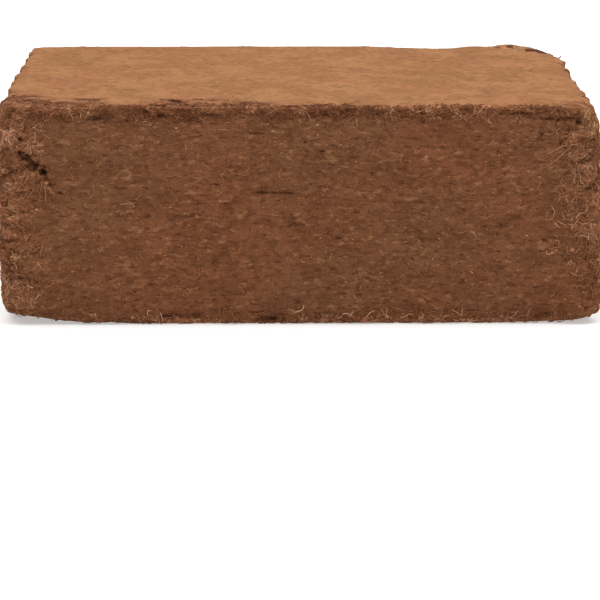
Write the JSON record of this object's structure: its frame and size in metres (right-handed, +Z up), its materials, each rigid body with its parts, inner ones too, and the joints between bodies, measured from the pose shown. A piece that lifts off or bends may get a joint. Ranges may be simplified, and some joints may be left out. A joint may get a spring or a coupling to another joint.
{
  "type": "coconut coir bale",
  "caption": "Square pressed block of coconut coir with flat top and bottom faces, layered sides and crumbled corners and edges.",
  "frame": {"origin": "centre of the bounding box in plan, on the surface that the bale rests on", "axes": "+Z up, along the press; -Y is the pictured front; +X to the right of that front"},
  "size_m": [0.3, 0.3, 0.11],
  "materials": {
    "pressed_coir": "dull, fibrous"
  },
  "bodies": {
    "root": {"coir_bale": "pressed_coir"}
  },
  "joints": []
}
